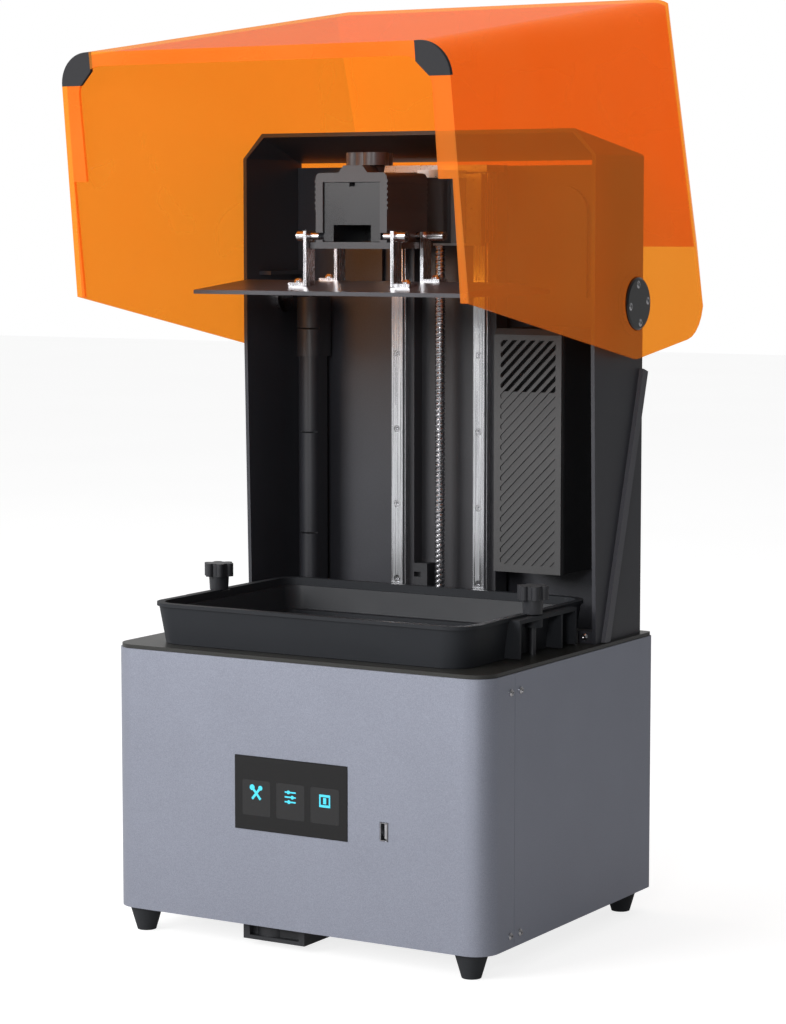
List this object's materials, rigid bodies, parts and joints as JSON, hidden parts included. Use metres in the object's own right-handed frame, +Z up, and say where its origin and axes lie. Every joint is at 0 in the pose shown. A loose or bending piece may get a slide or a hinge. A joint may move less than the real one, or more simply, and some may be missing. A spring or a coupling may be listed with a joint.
{
  "type": "resin 3d printer",
  "caption": "Desktop resin printer with a square metal base, rear tower with a lifting build plate, a vat and a translucent flip-up cover stored open.",
  "frame": {"origin": "on the floor under the middle of the base, in the plane of the four feet", "axes": "+X to the user's right, +Y to the rear, +Z up; the touch screen faces -Y"},
  "size_m": [0.3388, 0.4203, 0.7107],
  "materials": {
    "base_silver": "fine metallic satin",
    "deck_black": "satin",
    "dark_shell": "satin",
    "zinc_plate": "satin",
    "steel_screws": "polished",
    "rubber_black": "matt",
    "duct_plastic": "matt",
    "screen_glass": "gloss",
    "module_board": "satin",
    "bright_steel": "bright",
    "lcd_film": "gloss",
    "clear_glass": "gloss",
    "carrier_black": "satin",
    "heat_sink_aluminium": "satin",
    "supply_case": "satin",
    "frame_grey": "satin",
    "motor_black": "satin",
    "coupler_aluminium": "satin",
    "rail_block_steel": "satin",
    "nut_brass": "satin",
    "arm_black": "satin",
    "sleeve_grey": "satin",
    "knob_grey": "satin",
    "plate_dark_metal": "fine matt",
    "vat_black": "satin",
    "release_film": "clear gloss",
    "vat_knob_black": "satin",
    "orange_acrylic": "clear gloss",
    "pad_dark": "matt",
    "disc_black": "satin",
    "purifier_black": "satin",
    "grille_grey": "satin",
    "filter_black": "matt"
  },
  "bodies": {
    "base": {"base_front_panel": "base_silver", "base_rear_shell": "base_silver", "base_floor": "zinc_plate", "case_screws": "steel_screws", "feet": "rubber_black", "fan_duct": "duct_plastic", "top_deck": "deck_black", "touch_screen": "screen_glass", "screen_module": "module_board", "usb_port": "bright_steel", "lcd_panel": "lcd_film", "lcd_glass": "clear_glass", "lcd_carrier": "carrier_black", "light_engine_case": "carrier_black", "collimating_lens": "clear_glass", "led_board": "module_board", "heat_sink": "heat_sink_aluminium", "exhaust_fan_frame": "duct_plastic", "power_inlet": "duct_plastic", "switch_body": "duct_plastic", "power_supply": "supply_case", "mainboard": "module_board", "tower_shell": "dark_shell", "tower_back_cover": "dark_shell", "seal_strips": "dark_shell", "cable_conduit": "dark_shell", "z_frame": "frame_grey", "linear_rails": "bright_steel", "rail_screws": "steel_screws", "top_bearing_block": "frame_grey", "z_motor": "motor_black", "motor_bracket": "zinc_plate", "limit_sensor": "duct_plastic", "hinge_pins": "bright_steel"},
    "exhaust_rotor": {"exhaust_fan_rotor": "duct_plastic"},
    "rocker": {"power_rocker": "duct_plastic"},
    "screw": {"lead_screw": "bright_steel", "shaft_coupler": "coupler_aluminium"},
    "carriage": {"rail_blocks": "rail_block_steel", "carriage_plate": "zinc_plate", "lead_nut": "nut_brass", "lift_arm": "arm_black"},
    "platform": {"plate_sleeve": "sleeve_grey", "build_plate": "plate_dark_metal", "plate_brackets": "bright_steel", "leveling_screws": "steel_screws"},
    "clamp": {"clamp_knob": "knob_grey"},
    "vat_body": {"vat": "vat_black", "film_frame": "bright_steel", "release_film": "release_film"},
    "left_knob": {"vat_knob_left": "vat_knob_black"},
    "right_knob": {"vat_knob_right": "vat_knob_black"},
    "lid": {"lid_shell": "orange_acrylic", "lid_corner_pads": "pad_dark", "hinge_discs": "disc_black", "hinge_disc_screws": "steel_screws"},
    "purifier": {"purifier_case": "purifier_black", "purifier_grille": "grille_grey", "carbon_filter": "filter_black"},
    "purifier_rotor": {"purifier_fan_rotor": "purifier_black"}
  },
  "joints": [
    {"name": "lid_hinge", "type": "hinge", "parent": "base", "child": "lid", "pos_m": [0, 0.0912, 0.4766], "axis": [-1, 0, 0], "range_deg": [-82.5, 0]},
    {"name": "z_slide", "type": "slide", "parent": "base", "child": "carriage", "axis": [0, 0, 1], "range_m": [-0.26, 0]},
    {"name": "screw_spin", "type": "hinge", "parent": "base", "child": "screw", "pos_m": [0, 0.082, 0.4], "axis": [0, 0, 1], "continuous": true},
    {"name": "platform_slide", "type": "slide", "parent": "carriage", "child": "platform", "axis": [0, -1, 0], "range_m": [0, 0.065]},
    {"name": "clamp_turn", "type": "hinge", "parent": "platform", "child": "clamp", "pos_m": [0, -0.022, 0.585], "axis": [0, 0, 1], "range_deg": [0, 540]},
    {"name": "vat_lift", "type": "slide", "parent": "base", "child": "vat_body", "axis": [0, 0, 1], "range_m": [0, 0.015]},
    {"name": "left_knob_turn", "type": "hinge", "parent": "vat_body", "child": "left_knob", "pos_m": [-0.1395, -0.023, 0.26], "axis": [0, 0, 1], "range_deg": [0, 720]},
    {"name": "right_knob_turn", "type": "hinge", "parent": "vat_body", "child": "right_knob", "pos_m": [0.1395, -0.023, 0.26], "axis": [0, 0, 1], "range_deg": [0, 720]},
    {"name": "rocker_tilt", "type": "hinge", "parent": "base", "child": "rocker", "pos_m": [0.07, 0.1333, 0.052], "axis": [0, 0, 1], "range_deg": [-12, 0]},
    {"name": "exhaust_fan_spin", "type": "hinge", "parent": "base", "child": "exhaust_rotor", "pos_m": [-0.07, 0.12, 0.11], "axis": [0, 1, 0], "continuous": true},
    {"name": "purifier_pull", "type": "slide", "parent": "base", "child": "purifier", "axis": [0, -1, 0], "range_m": [0, 0.06]},
    {"name": "purifier_fan_spin", "type": "hinge", "parent": "purifier", "child": "purifier_rotor", "pos_m": [0.0915, 0.0966, 0.3], "axis": [0, 1, 0], "continuous": true}
  ],
  "couplings": [
    {"joint": "screw_spin", "follows": "z_slide", "rad_per_m": -1570.8}
  ]
}
